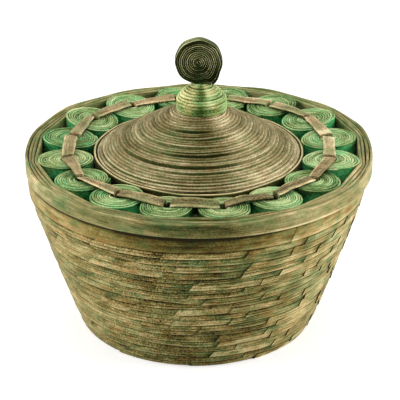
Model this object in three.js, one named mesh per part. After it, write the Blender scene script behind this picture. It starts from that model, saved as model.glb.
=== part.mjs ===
// A lidded round basket made of folded and rolled paper strips.
// Millimetres, +Z up. The origin is the centre of the underside, and -Y is the front.

import * as THREE from 'three';

// Gap left between pieces that are glued or rest on each other
const GLUE_GAP = 0.3;
// Gap between the turns of a wound strip
const TURN_GAP = 0.46;

// Basket body: folded strips wound into a flaring wall on a flat base
const BODY_HEIGHT = 115.5;
const BASE_RADIUS = 81.2;
const BASE_THICKNESS = 6.4;
const WALL_THICKNESS = 5.0;
const WALL_FLARE = 0.88;
const WALL_COURSES = 5;
const WRAPS_PER_COURSE = 4;
const FOOT_CHAMFER = 1.5;

// Mouth: upright wraps that close the top of the wall
const MOUTH_HEIGHT = 11.8;
const MOUTH_WRAPS = 2;
const MOUTH_WRAP_THICKNESS = 2.5;

// Lid rim: strips on edge round the outside
const LID_DIAMETER = 241.5;
const LID_OVERHANG = 2.65;
const RIM_HEIGHT = 10.2;
const RIM_WRAPS = 4;
const RIM_WRAP_THICKNESS = 1.7;

// Ring of flat rolled coils inside the rim
const COIL_COUNT = 16;
const COIL_HEIGHT = 8.0;
const COIL_LIFT = 1.9;
const COIL_HOLE_RADIUS = 3.9;
const COIL_EDGE_ROUND = 0.8;
const COIL_DISH = 0.5;
const FIRST_COIL_ANGLE = THREE.MathUtils.degToRad(-102.6);

// Two flat strips laced over and under through the holes of the coils
const LACE_WIDTH = 6.4;
const LACE_THICKNESS = 0.8;
const LACE_BOW = 0.9;
const LACE_HOLE_WIDTH = 2.8;
const LACE_HOLE_OFFSET = 1.75;
const LACE_STATIONS = [0, 0.16, 0.5, 0.84, 1];

// Single loose wrap between the cone and the coils
const INNER_WRAP_THICKNESS = 1.5;
const INNER_WRAP_SLACK = 0.5;

// Centre cone: one strip wound on edge and pushed up step by step
const CONE_RADIUS = 70.6;
const CONE_RISE = 30.5;
const CONE_CURVE = 0.93;
const CONE_TURNS = 24;
const CONE_STRIP_HEIGHT = 6.4;
const CONE_PROUD = 0.3;

// Beehive dome on the cone, wound from one strip and set a little to the right of the axis
const HIVE_RADIUS = 17.6;
const HIVE_HEIGHT = 19.5;
const HIVE_OFFSET = 2.0;
const HIVE_STRAIGHT = 6.5;
const HIVE_EYE_RADIUS = 2.0;
const HIVE_SIDE_PULL = 0.4;
const HIVE_TOP_PULL = 9.5;
const HIVE_WALL = 2.0;
const HIVE_SEAT = 3.0;
const HIVE_TURN_GAP = 0.6;
const HIVE_PARED_END = 0.5;
const HIVE_TURNS = 11;

// Upright rolled disc that serves as the knob
const KNOB_RADIUS = 16.8;
const KNOB_THICKNESS = 7.5;
const KNOB_CORE_RADIUS = 0.9;
const KNOB_TURNS = 12;
const KNOB_TAIL_ANGLE = THREE.MathUtils.degToRad(-45);

// Ring under the lid that drops inside the mouth
const LOCATING_CLEARANCE = 2.2;
const LOCATING_THICKNESS = 2.7;
const LOCATING_DEPTH = 7.5;

// Facets round each kind of piece
const WALL_FACETS = 40;
const COIL_FACETS = 14;
const CONE_STEPS = 24;
const SMALL_STEPS = 16;

// Heights and radii that follow from the sizes above
const TAU = 2 * Math.PI;
const lidRadius = LID_DIAMETER / 2;
const mouthRadius = lidRadius - LID_OVERHANG;
const mouthPitch = MOUTH_WRAP_THICKNESS + GLUE_GAP;
const mouthInnerRadius = mouthRadius - MOUTH_WRAPS * mouthPitch + GLUE_GAP;
const wallTop = BODY_HEIGHT - MOUTH_HEIGHT - GLUE_GAP;
const rimBottom = BODY_HEIGHT + GLUE_GAP;
const rimPitch = RIM_WRAP_THICKNESS + GLUE_GAP;
const rimInnerRadius = lidRadius - RIM_WRAPS * rimPitch + GLUE_GAP;
const coilBottom = rimBottom + COIL_LIFT;
const coilTop = coilBottom + COIL_HEIGHT;
const coilOuterReach = rimInnerRadius - GLUE_GAP;
const innerWrapRadius = CONE_RADIUS + INNER_WRAP_SLACK;
const coilInnerReach = innerWrapRadius + INNER_WRAP_THICKNESS + GLUE_GAP;
const coilRingRadius = (coilOuterReach + coilInnerReach) / 2;
const coilSemiRadial = (coilOuterReach - coilInnerReach) / 2;
const coilStepAngle = TAU / COIL_COUNT;
const coneFootTop = coilTop + CONE_PROUD;
const coneTop = coneFootTop + CONE_RISE;
const hiveBottom = coneTop + GLUE_GAP;
const hiveTop = hiveBottom + HIVE_HEIGHT;

// Paper colours: green paint with gold brushed over it
const PAPER_ROUGHNESS = 0.7;
const GOLD_METALNESS = 0.2;
const GREEN_METALNESS = 0.05;
const COLOURS = {
  base: 0x5e6b3c,
  wall: 0xa08f58,
  mouth: 0x8b8450,
  rim: 0x7a7a45,
  coil: 0x4e9a54,
  lace: 0xb09468,
  cone: 0x8a7f4e,
  hive: 0x6f9a3f,
  knob: 0x6a6a38,
  locating: 0x55693c,
};

const group = new THREE.Group();

function addPiece(name, geometry, finish) {
  const mesh = new THREE.Mesh(geometry, new THREE.MeshStandardMaterial({
    color: COLOURS[finish],
    metalness: finish === 'coil' ? GREEN_METALNESS : GOLD_METALNESS,
    roughness: PAPER_ROUGHNESS,
  }));
  mesh.name = name;
  group.add(mesh);
  return mesh;
}

// Solid of revolution about Z from [radius, height] pairs that run anticlockwise
function turned(profile, facets) {
  const points = profile.map(([radius, height]) => new THREE.Vector2(radius, height));
  return new THREE.LatheGeometry(points, facets).rotateX(Math.PI / 2);
}

// Ring of revolution: the profile comes back to its first point
function turnedRing(profile, facets) {
  return turned([...profile, profile[0]], facets);
}

// Skin through sections of equal sides, each anticlockwise about the way the strip runs
function loft(sections, closed) {
  const sides = sections[0].length;
  const count = sections.length;
  const index = [];
  for (let i = 0; i < (closed ? count : count - 1); i += 1) {
    const here = i * sides;
    const next = ((i + 1) % count) * sides;
    for (let j = 0; j < sides; j += 1) {
      const k = (j + 1) % sides;
      index.push(here + j, here + k, next + k);
      index.push(here + j, next + k, next + j);
    }
  }
  if (!closed) {
    const last = (count - 1) * sides;
    for (let j = 1; j < sides - 1; j += 1) {
      index.push(0, j + 1, j);
      index.push(last, last + j, last + j + 1);
    }
  }
  const geometry = new THREE.BufferGeometry();
  geometry.setFromPoints(sections.flat());
  geometry.setIndex(index);
  geometry.computeVertexNormals();
  return geometry;
}

// Point at a radius, an angle round Z and a height
function polar(radius, angle, height) {
  return new THREE.Vector3(radius * Math.cos(angle), radius * Math.sin(angle), height);
}

// Least distance between two convex four-sided sections in one plane
function sectionGap(a, b) {
  let least = Infinity;
  for (const [corners, outline] of [[a, b], [b, a]]) {
    for (const corner of corners) {
      for (let i = 0; i < outline.length; i += 1) {
        const from = new THREE.Vector3(outline[i][0], outline[i][1], 0);
        const to = new THREE.Vector3(...outline[(i + 1) % outline.length], 0);
        const point = new THREE.Vector3(corner[0], corner[1], 0);
        const nearest = new THREE.Line3(from, to).closestPointToPoint(point, true, new THREE.Vector3());
        least = Math.min(least, nearest.distanceTo(point));
      }
    }
  }
  return least;
}

// One unbroken strip wound round Z. sectionAt(turn) gives its four [radius, height] corners,
// inner low, inner high, outer high, outer low, and startAngle is where the strip begins.
function wound(name, turns, steps, startAngle, sectionAt) {
  const outlines = [];
  for (let i = 0; i <= turns * steps; i += 1) {
    outlines.push(sectionAt(i / steps));
  }
  const facetShare = Math.cos(Math.PI / steps);
  let least = Infinity;
  for (let i = 0; i + steps < outlines.length; i += 1) {
    least = Math.min(least, sectionGap(outlines[i], outlines[i + steps]) * facetShare);
  }
  console.log(`${name}: ${turns} turns, least gap between turns ${least.toFixed(2)} mm`);
  const sections = outlines.map((outline, i) =>
    outline.map(([radius, height]) => polar(radius, startAngle + (i / steps) * TAU, height)));
  return loft(sections, false);
}

// Outer radius of the wall at a height
function wallRadius(height) {
  const share = Math.min(height / wallTop, 1);
  return BASE_RADIUS + (mouthRadius - BASE_RADIUS) * share ** WALL_FLARE;
}

// Base: a flat rolled disc inside the first wraps
function base() {
  const radius = wallRadius(0) - WALL_THICKNESS - GLUE_GAP;
  addPiece('base_disc', turned([
    [0, 0], [radius, 0], [radius, BASE_THICKNESS], [0, BASE_THICKNESS],
  ], WALL_FACETS), 'base');
}

// Wall: each course is a stack of wraps, every wrap a step further out than the one below
function wall() {
  const courseHeight = (wallTop + GLUE_GAP) / WALL_COURSES;
  const wrapHeight = (courseHeight - GLUE_GAP) / WRAPS_PER_COURSE;
  for (let course = 0; course < WALL_COURSES; course += 1) {
    const low = course * courseHeight;
    const high = low + courseHeight - GLUE_GAP;
    const profile = [[wallRadius(low) - WALL_THICKNESS, low]];
    for (let wrap = 0; wrap < WRAPS_PER_COURSE; wrap += 1) {
      const wrapLow = low + wrap * wrapHeight;
      const radius = wallRadius(wrapLow + wrapHeight / 2);
      if (course === 0 && wrap === 0) {
        profile.push([radius - FOOT_CHAMFER, wrapLow], [radius, wrapLow + FOOT_CHAMFER]);
      } else {
        profile.push([radius, wrapLow]);
      }
      profile.push([radius, wrapLow + wrapHeight]);
    }
    profile.push([wallRadius(high) - WALL_THICKNESS, high]);
    addPiece(`wall_course_${course + 1}`, turnedRing(profile, WALL_FACETS), 'wall');
  }
}

// Mouth: upright wraps that stand on the wall
function mouth() {
  for (let wrap = 0; wrap < MOUTH_WRAPS; wrap += 1) {
    const inner = mouthInnerRadius + wrap * mouthPitch;
    const outer = inner + MOUTH_WRAP_THICKNESS;
    const low = wallTop + GLUE_GAP;
    addPiece(`mouth_wrap_${wrap + 1}`, turnedRing([
      [inner, low], [outer, low], [outer, BODY_HEIGHT], [inner, BODY_HEIGHT],
    ], WALL_FACETS), 'mouth');
  }
}

// Half width of a coil that leaves the glue gap to the coils beside it
function coilSemiTangential() {
  const halfStep = coilStepAngle / 2;
  const halfChord = coilRingRadius * Math.sin(halfStep) - GLUE_GAP / 2;
  const lean = coilSemiRadial * Math.sin(halfStep);
  return Math.sqrt(halfChord ** 2 - lean ** 2) / Math.cos(halfStep);
}

// Path of a strip pulled round the coils: straight from coil to coil at one distance from the
// axis, with a bend to each side of a coil's outermost point
function pulledPath() {
  const half = coilStepAngle / 2;
  const reach = Math.hypot(coilSemiRadial * Math.cos(half), coilSemiTangential() * Math.sin(half));
  const flat = coilRingRadius * Math.cos(half) + reach + GLUE_GAP;
  const side = (flat - rimInnerRadius * Math.cos(half)) / Math.sin(half);
  return { flat, bend: Math.atan2(side, rimInnerRadius) };
}

// Lid rim: the inner wraps pull straight from coil to coil, the outer ones lie round
function rim() {
  const { flat, bend } = pulledPath();
  for (let wrap = 0; wrap < RIM_WRAPS; wrap += 1) {
    const roundness = RIM_WRAPS > 1 ? wrap / (RIM_WRAPS - 1) : 1;
    const atCoil = rimInnerRadius + wrap * rimPitch;
    const between = THREE.MathUtils.lerp(flat, rimInnerRadius, roundness) + wrap * rimPitch;
    const sections = [];
    for (let k = 0; k < COIL_COUNT; k += 1) {
      const turns = [[-bend, atCoil], [bend, atCoil], [coilStepAngle / 2, between]];
      for (const [offset, inner] of turns) {
        const angle = FIRST_COIL_ANGLE + k * coilStepAngle + offset;
        const outer = inner + RIM_WRAP_THICKNESS;
        sections.push([
          polar(inner, angle, rimBottom),
          polar(inner, angle, rimBottom + RIM_HEIGHT),
          polar(outer, angle, rimBottom + RIM_HEIGHT),
          polar(outer, angle, rimBottom),
        ]);
      }
    }
    addPiece(`lid_rim_wrap_${wrap + 1}`, loft(sections, true), 'rim');
  }
}

// Coils: flat rolled discs with a hole, slightly dished round it and rounded at the edge
function coils() {
  const radius = coilSemiRadial;
  const profile = [
    [COIL_HOLE_RADIUS, 0],
    [radius, 0],
    [radius, COIL_HEIGHT - COIL_EDGE_ROUND],
    [radius - COIL_EDGE_ROUND, COIL_HEIGHT],
    [(radius + COIL_HOLE_RADIUS) / 2, COIL_HEIGHT],
    [COIL_HOLE_RADIUS, COIL_HEIGHT - COIL_DISH],
  ];
  const squash = coilSemiTangential() / coilSemiRadial;
  for (let k = 0; k < COIL_COUNT; k += 1) {
    const angle = FIRST_COIL_ANGLE + k * coilStepAngle;
    const geometry = turnedRing(profile, COIL_FACETS).scale(1, squash, 1);
    const mesh = addPiece(`coil_${String(k + 1).padStart(2, '0')}`, geometry, 'coil');
    mesh.position.copy(polar(coilRingRadius, angle, coilBottom));
    mesh.rotation.z = angle;
  }
}

// Stations of one laced strip: over one gap between coils, down a hole, under the next, up again
function laceStations(startsOver, holeOffset) {
  const over = coilTop + GLUE_GAP + LACE_THICKNESS / 2;
  const under = coilBottom - GLUE_GAP - LACE_THICKNESS / 2;
  const stations = [];
  for (let k = 0; k < COIL_COUNT; k += 1) {
    const above = (k % 2 === 0) === startsOver;
    const level = above ? over : under;
    const from = FIRST_COIL_ANGLE + k * coilStepAngle;
    const start = polar(coilRingRadius, from, level);
    const end = polar(coilRingRadius, from + coilStepAngle, level);
    for (const share of LACE_STATIONS) {
      const spread = 1 - (2 * share - 1) ** 2;
      const angle = from + share * coilStepAngle;
      const bow = above ? LACE_BOW * spread : 0;
      stations.push({
        at: start.clone().lerp(end, share).add(polar(holeOffset * (1 - spread), angle, bow)),
        angle,
        width: THREE.MathUtils.lerp(LACE_HOLE_WIDTH, LACE_WIDTH, spread),
      });
    }
  }
  return stations;
}

// Flat band through stations, its width lying along the radius of the lid
function band(stations) {
  const count = stations.length;
  const sections = stations.map(({ at, angle, width }, i) => {
    const before = stations[(i + count - 1) % count].at;
    const after = stations[(i + 1) % count].at;
    const arriving = at.clone().sub(before).normalize();
    const leaving = after.clone().sub(at).normalize();
    const run = arriving.add(leaving).normalize();
    const across = polar(1, angle, 0);
    across.addScaledVector(run, -across.dot(run)).normalize();
    const facing = run.clone().cross(across);
    return [[-1, -1], [1, -1], [1, 1], [-1, 1]].map(([side, face]) => at.clone()
      .addScaledVector(across, (side * width) / 2)
      .addScaledVector(facing, (face * LACE_THICKNESS) / 2));
  });
  return loft(sections, true);
}

// Lacing: the second strip covers the gaps that the first one passes under
function lacing() {
  addPiece('lacing_strip_a', band(laceStations(true, LACE_HOLE_OFFSET)), 'lace');
  addPiece('lacing_strip_b', band(laceStations(false, -LACE_HOLE_OFFSET)), 'lace');
}

// Inner wrap: stands between the coils and the foot of the cone
function innerWrap() {
  const outer = innerWrapRadius + INNER_WRAP_THICKNESS;
  addPiece('lid_inner_wrap', turnedRing([
    [innerWrapRadius, coilBottom], [outer, coilBottom],
    [outer, coneFootTop], [innerWrapRadius, coneFootTop],
  ], WALL_FACETS), 'rim');
}

// Height of the cone's top edges at a radius
function coneHeight(radius) {
  const share = Math.min((CONE_RADIUS - radius) / (CONE_RADIUS - HIVE_RADIUS), 1);
  return coneFootTop + CONE_RISE * share ** CONE_CURVE;
}

// Cone: wound from its foot inwards, ending under the beehive
function cone() {
  const pitch = (CONE_RADIUS - (HIVE_RADIUS - HIVE_SEAT)) / (CONE_TURNS + 1);
  const thickness = pitch - TURN_GAP;
  addPiece('lid_cone_coil', wound('lid_cone_coil', CONE_TURNS, CONE_STEPS, FIRST_COIL_ANGLE, (turn) => {
    const outer = CONE_RADIUS - pitch * turn;
    const inner = outer - thickness;
    const high = coneHeight(outer);
    const low = high - CONE_STRIP_HEIGHT;
    return [[inner, low], [inner, high], [outer, high], [outer, low]];
  }), 'cone');
}

// Beehive: turns stacked along the dome's outline, the first and last pared to lie level
function beehive() {
  const shoulder = HIVE_HEIGHT - HIVE_STRAIGHT;
  const outline = new THREE.CurvePath();
  outline.add(new THREE.LineCurve(
    new THREE.Vector2(HIVE_RADIUS, 0), new THREE.Vector2(HIVE_RADIUS, HIVE_STRAIGHT)));
  outline.add(new THREE.CubicBezierCurve(
    new THREE.Vector2(HIVE_RADIUS, HIVE_STRAIGHT),
    new THREE.Vector2(HIVE_RADIUS, HIVE_STRAIGHT + HIVE_SIDE_PULL * shoulder),
    new THREE.Vector2(HIVE_EYE_RADIUS + HIVE_TOP_PULL, HIVE_HEIGHT),
    new THREE.Vector2(HIVE_EYE_RADIUS, HIVE_HEIGHT)));
  const length = outline.getLength();
  const pitch = (length - 2 * HIVE_PARED_END - HIVE_TURN_GAP) / (HIVE_TURNS - 1);
  const corner = (along, depth) => {
    const share = THREE.MathUtils.clamp(along / length, 0, 1);
    const point = outline.getPointAt(share);
    const run = outline.getTangentAt(share);
    return [point.x - depth * run.y, hiveBottom + point.y + depth * run.x];
  };
  const mesh = addPiece('beehive_coil', wound('beehive_coil', HIVE_TURNS, SMALL_STEPS, 0, (turn) => {
    const upper = Math.min(length, HIVE_PARED_END + pitch * turn);
    const lower = turn < 1 ? 0 : HIVE_PARED_END + pitch * (turn - 1) + HIVE_TURN_GAP;
    return [corner(lower, HIVE_WALL), corner(upper, HIVE_WALL), corner(upper, 0), corner(lower, 0)];
  }), 'hive');
  mesh.position.x = HIVE_OFFSET;
}

// Knob: a flat rolled disc standing on edge, its tail at the lower right
function knob() {
  const pitch = (KNOB_RADIUS - KNOB_CORE_RADIUS) / (KNOB_TURNS + 1);
  const half = KNOB_THICKNESS / 2;
  const outerAt = (turn) => KNOB_CORE_RADIUS + pitch * (turn + 1);
  const coil = wound('knob_coil', KNOB_TURNS, SMALL_STEPS, KNOB_TAIL_ANGLE, (turn) => {
    const outer = outerAt(turn);
    const inner = outer - pitch + TURN_GAP;
    return [[inner, -half], [inner, half], [outer, half], [outer, -half]];
  });
  const mesh = addPiece('knob_coil', coil, 'knob');
  const turnsFromTailToFoot = (KNOB_TAIL_ANGLE + Math.PI / 2) / TAU;
  const footRadius = outerAt(KNOB_TURNS - turnsFromTailToFoot);
  mesh.rotation.x = Math.PI / 2;
  mesh.position.z = hiveTop + GLUE_GAP + footRadius;
}

// Locating ring: glued under the coils inside the rim, it keeps the lid centred in the mouth
function locatingRing() {
  const outer = Math.min(mouthInnerRadius - LOCATING_CLEARANCE, pulledPath().flat - GLUE_GAP);
  const inner = outer - LOCATING_THICKNESS;
  const high = coilBottom - GLUE_GAP;
  const low = BODY_HEIGHT - LOCATING_DEPTH;
  addPiece('lid_locating_ring', turnedRing([
    [inner, low], [outer, low], [outer, high], [inner, high],
  ], WALL_FACETS), 'locating');
}

base();
wall();
mouth();
rim();
coils();
lacing();
innerWrap();
cone();
beehive();
knob();
locatingRing();

export default group;
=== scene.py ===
"""Looks of a lidded round basket made of folded and rolled strips of recycled paper."""
import math

import bpy
import numpy as np
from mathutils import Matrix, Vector


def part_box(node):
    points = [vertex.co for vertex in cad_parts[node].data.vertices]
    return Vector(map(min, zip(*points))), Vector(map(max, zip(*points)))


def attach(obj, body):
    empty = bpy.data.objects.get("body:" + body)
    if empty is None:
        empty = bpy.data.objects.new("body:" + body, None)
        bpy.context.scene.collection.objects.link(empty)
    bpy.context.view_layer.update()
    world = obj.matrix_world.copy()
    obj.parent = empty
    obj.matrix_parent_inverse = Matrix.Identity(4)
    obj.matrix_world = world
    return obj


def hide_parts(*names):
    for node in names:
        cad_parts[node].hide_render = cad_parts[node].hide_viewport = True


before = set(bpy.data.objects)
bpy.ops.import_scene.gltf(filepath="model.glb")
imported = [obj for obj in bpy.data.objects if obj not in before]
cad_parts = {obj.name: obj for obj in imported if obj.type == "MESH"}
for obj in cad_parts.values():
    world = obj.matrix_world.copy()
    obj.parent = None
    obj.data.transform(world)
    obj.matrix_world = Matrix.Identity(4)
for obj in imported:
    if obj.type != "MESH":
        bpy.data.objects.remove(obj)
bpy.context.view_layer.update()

MM = 0.001
TAU = 2 * math.pi
FRONT = -math.pi / 2
SEED = 11
CREASE = math.radians(38)
PATTERN_REACH = 50

# Camera: the photograph's angle, distance and framing
CAMERA_ELEVATION = math.radians(25.08)
CAMERA_DISTANCE = 1274 * MM
CAMERA_LENS = 162.4
CAMERA_SENSOR = 36.0
AIM_RIGHT = 0.9 * MM
AIM_HEIGHT = 86.8 * MM

# Square lamps: name, place in metres, side in metres and power
LAMPS = (("lamp_left", (-1.25, -0.15, 0.6), 0.9, 15), ("lamp_right", (1.25, -0.1, 0.55), 0.9, 16),
         ("lamp_top", (0.0, 0.35, 1.4), 1.0, 7))
LAMP_AIM = Vector((0, 0, 0.09))
AMBIENT = 0.4
FLOOR_HALF = 3.0
FLOOR_DROP = 0.2 * MM
FLOOR_TONE = 0.8
FLOOR_GLOW = 0.49

# Wall of folded strips, each wrap a step further out than the one below
WALL_COURSES = 5
WALL_FLARE = 0.88
WALL_LEAN = 0.78
WALL_DRIFT = 1.3 * MM
WALL_BACKING = 5 * MM
FOOT_SPREAD = 1.3 * MM
BACKING_WRAPS = 30
WRAP_COUNT = 21
WRAP_UNEVEN = 0.2
WRAP_WAVE = 0.4 * MM
TALL_WRAPS = 3
TALL_WRAP = 1.35
STRIP_LENGTH = 50 * MM
STRIP_UNEVEN = 0.18
STRIP_THICKNESS = 0.65 * MM
STRIP_SEAT = 0.6 * STRIP_THICKNESS
STRIP_LIFT = 0.4 * MM
STRIP_SLANT = 0.72
STRIP_OVERLAP = 13 * MM

# Broad touches of the brush on the wall: degrees from the front, height in mm, half widths in
# degrees and mm, and how much more gold lies there and more green shows than elsewhere
WALL_TOUCHES = ((18, 90, 13, 9, -0.16, 0.2), (-14, 69, 9, 8, -0.22, 0.05), (52, 56, 10, 18, 0.2, 0.32),
                (47, 30, 9, 10, 0.34, -0.05), (24, 22, 8, 7, 0.16, 0), (-32, 99, 12, 6, 0.12, -0.1),
                (57, 88, 8, 10, 0.22, 0.2), (-15, 50, 10, 5, 0.16, 0), (1, 54, 6, 5, 0.12, 0),
                (4, 6, 25, 5, -0.22, 0), (-26, 84, 9, 5, -0.14, 0.05), (3, 78, 6, 6, -0.12, 0.1),
                (5, 104, 8, 4, -0.12, 0), (32, 102, 9, 4, 0.14, -0.1), (36, 112, 9, 5, -0.1, 0))

# Mouth: a wrap of long strips outside, edges of folded strips inside
MOUTH_STRIP_LENGTH = 120 * MM
MOUTH_STRIP_THICKNESS = 0.35 * MM
MOUTH_SLANT = 0.5
MOUTH_DEPTH = 5.3 * MM
MOUTH_FOLDS = 4

# Base, one strip rolled flat
BASE_TURNS = 34

# Lid rim: strips on edge
RIM_STRIPS = 4
RIM_STRIP = 1.7 * MM
RIM_PITCH = 2 * MM

# Flat rolled coils and the lacing through them
COIL_COUNT = 16
FIRST_COIL_ANGLE = math.radians(-102.6)
COIL_STEP = TAU / COIL_COUNT
COIL_HOLE = 3.2 * MM
COIL_PITCH = 1.42 * MM
LACE_WIDTH = 8.7 * MM
LACE_THICKNESS = 0.6 * MM
LACE_ABOVE = 1.1 * MM
LACE_BELOW = 0.7 * MM
# Where the lacing folds into a hole and has a painted highlight
LACE_HIGHLIGHT_ANGLE = FIRST_COIL_ANGLE + 5.12 * COIL_STEP

# Coils from the front anticlockwise, in mm: how far each is pushed up, how far its outer end
# rises and its inner end dips, and how far its outer end is drawn out
COIL_RAISE = (0.4, 0, 0.2, 1.5, 2, 2.6, 3, 2.8, 2.2, 1.8, 1.8, 1.8, 1, 0.3, 0.4, 0.6)
COIL_LEAN = (0, 0, 0.3, 0, 0, 0.6, 1.2, 1, 1, 1, 1.3, 1.5, 0.5, 0, 0, 0)
COIL_DIP = (2.6, 2.4, 0.8, 1, 1, 1.2, 1.5, 1, 1, 1, 1.8, 2.5, 1, 0, 0, 0.5)
COIL_REACH = (0, 0, 0, 0, 2, 1, 4, 3, 2, 2, 2.5, 3, 1, 2, 0, 0)

# How much more gold the brush left on each coil than on the rest
COIL_GOLD = (-0.05, -0.05, 0.15, -0.15, 0.15, 0.1, 0.1, -0.15, 0, -0.2, 0.05, 0, 0, 0.05, 0, -0.1)

# Cone, and its taller bare steps: turn counted from its foot, extra height in mm and half width
# in turns
CONE_TURNS = 27
CONE_STRIP_HEIGHT = 6.4 * MM
CONE_CURVE = 0.93
TALL_STEPS = ((1.9, 0.5, 0.3), (6.05, 0.7, 0.12), (8, 0.8, 0.14), (12.05, 1.2, 0.11),
              (13.02, 0.6, 0.08), (15, 1.1, 0.1), (18.07, 1.3, 0.11), (21, 1, 0.07))

# Beehive dome and knob
HIVE_TURNS = 12
HIVE_STRAIGHT = 6.5 * MM
HIVE_EYE = 2 * MM
HIVE_SIDE_PULL = 0.25
HIVE_TOP_PULL = 5 * MM
KNOB_TURNS = 12
KNOB_END = math.radians(-59)
KNOB_SAG = 1.5 * MM
KNOB_SPRING = 2.3 * MM

# Ring under the lid: two strips face to face
LOCATING_STRIP = 1.2 * MM
LOCATING_PITCH = 1.4 * MM


def linear(red, green, blue):
    """An sRGB colour of 0 to 255 as the linear values that shaders read."""
    values = np.array([red, green, blue]) / 255
    return tuple(np.where(values <= 0.04045, values / 12.92, ((values + 0.055) / 1.055) ** 2.4)) + (1.0,)


def smooth(values):
    """0 to 1 with level ends."""
    values = np.clip(values, 0, 1)
    return values * values * (3 - 2 * values)


def row(*numbers):
    """Numbers for the points of a section."""
    return np.array(numbers)


def full_turn(count):
    """Angles once round the axis, as a column."""
    return np.linspace(0, TAU, count, endpoint=False)[:, None]


def winding(turns, steps):
    """Turns wound so far at each station of a rolled strip, as a column."""
    return np.arange(int(turns * steps) + 1)[:, None] / steps


def wave(rng, angles, size, counts=(2, 3, 5, 8)):
    """Slow unevenness round the axis that meets itself after a turn."""
    total = np.zeros_like(angles)
    for count in counts:
        total += rng.normal(0, size / math.sqrt(len(counts))) * np.sin(count * angles + rng.uniform(0, TAU))
    return total


def drift(rng, places, size):
    """Random values at whole places, joined smoothly between them."""
    knots = rng.normal(0, size, int(places.max()) + 3)
    low = np.floor(places).astype(int)
    share = smooth(places - low)
    return knots[low] * (1 - share) + knots[low + 1] * share


def facing(angles, centre, half_width):
    """1 at an angle round the axis, falling off to both sides of it."""
    offset = (angles - centre + math.pi) % TAU - math.pi
    return np.exp(-(offset / half_width) ** 2)


def facing_at(angles, degrees, half_width):
    """The same for a centre in degrees."""
    return facing(angles, math.radians(degrees), half_width)


def round_z(radii, angles, heights):
    """Points from radii and heights of one shape and angles that broadcast to it."""
    radii, angles, heights = np.broadcast_arrays(radii, angles, heights)
    return np.stack([radii * np.cos(angles), radii * np.sin(angles), heights], -1)


def columns(*values):
    """Section values side by side, each a number or a column by station."""
    rows = max(np.size(value) for value in values)
    return np.concatenate([np.broadcast_to(value, (rows, 1)) for value in values], 1)


def ridged(inner, outer, ridge, *beyond):
    """Radii over a folded strip on edge: its inner side, two ridges, its outer side and more."""
    return columns(inner, inner, inner + ridge, (inner + outer) / 2, outer - ridge, outer, *beyond)


def arc_length(rings):
    """Distance along a strip of its stations' middles."""
    steps = np.linalg.norm(np.diff(rings.mean(1), axis=0), axis=1)
    return np.concatenate([[0], np.cumsum(steps)])


def placed(name, data):
    """A new object in the scene."""
    item = bpy.data.objects.new(name, data)
    bpy.context.scene.collection.objects.link(item)
    return item


class Paper:
    """Strips of paper gathered into one mesh, with what the paint reads at each point."""

    def __init__(self):
        self.points = []
        self.faces = []
        self.strip = []
        self.proud = []
        self.bare = []
        self.count = 0

    def add(self, rings, proud, across=None, closed=False, bare=0.0, rng=None):
        """Adds one closed strip. rings is stations by section points by 3, proud is 0 in the
        recesses and 1 on the edges, bare is 1 where the brush with gold paint never came, and
        across is metres over the face. proud also carries painted shade and painted highlights, and
        bare some painted shade. rng draws the strip's own place in the paint's pattern."""
        stations, sides = rings.shape[:2]
        if across is None:
            across = np.cumsum(np.linalg.norm(np.diff(rings[0], axis=0, prepend=rings[0][:1]), axis=1))
        index = self.count + np.arange(stations * sides).reshape(stations, sides)
        here = index if closed else index[:-1]
        after = np.roll(index, -1, 0) if closed else index[1:]
        quads = np.stack([here, np.roll(here, -1, 1), np.roll(after, -1, 1), after], -1).reshape(-1, 4)
        local = rings.reshape(-1, 3) - rings.mean((0, 1))
        a, b, c, d = (local[quads[:, corner] - self.count] for corner in range(4))
        volume = np.sum(a * np.cross(b, c)) + np.sum(a * np.cross(c, d))
        faces = quads.tolist()
        if not closed:
            faces += [index[0, ::-1].tolist(), index[-1].tolist()]
        if volume < 0:
            faces = [face[::-1] for face in faces]
        own_place = rng.uniform(0, PATTERN_REACH) if rng else 0.0
        strip = (arc_length(rings)[:, None], across, own_place)
        self.points.append(rings.reshape(-1, 3))
        self.strip.append(np.stack([self.spread(part, index) for part in strip], -1))
        self.proud.append(self.spread(proud, index))
        self.bare.append(self.spread(bare, index))
        self.faces += faces
        self.count += stations * sides

    @staticmethod
    def spread(values, index):
        """Values of a strip as one for each of its points."""
        return np.broadcast_to(values, index.shape).reshape(-1)

    def build(self, name, body, slot, nodes=(), shift=(0, 0, 0)):
        """Makes the object: it rides on body, wears the slot's paint and replaces the CAD nodes."""
        points = np.concatenate(self.points) + np.array(shift)
        mesh = bpy.data.meshes.new(name)
        mesh.from_pydata(points.tolist(), [], self.faces)
        strip = mesh.attributes.new("strip", "FLOAT_VECTOR", "POINT")
        strip.data.foreach_set("vector", np.concatenate(self.strip).astype(np.float32).ravel())
        for key, values in (("proud", self.proud), ("bare", self.bare)):
            layer = mesh.attributes.new(key, "FLOAT", "POINT")
            layer.data.foreach_set("value", np.concatenate(values).astype(np.float32))
        mesh.polygons.foreach_set("use_smooth", [True] * len(mesh.polygons))
        mesh.set_sharp_from_angle(angle=CREASE)
        mesh.materials.append(PAINTS[slot])
        piece = placed(name, mesh)
        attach(piece, body)
        if nodes:
            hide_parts(*nodes)


def begin(number):
    """The paper of one piece and its random numbers, the same on every run."""
    return Paper(), np.random.default_rng([SEED, number])


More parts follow.
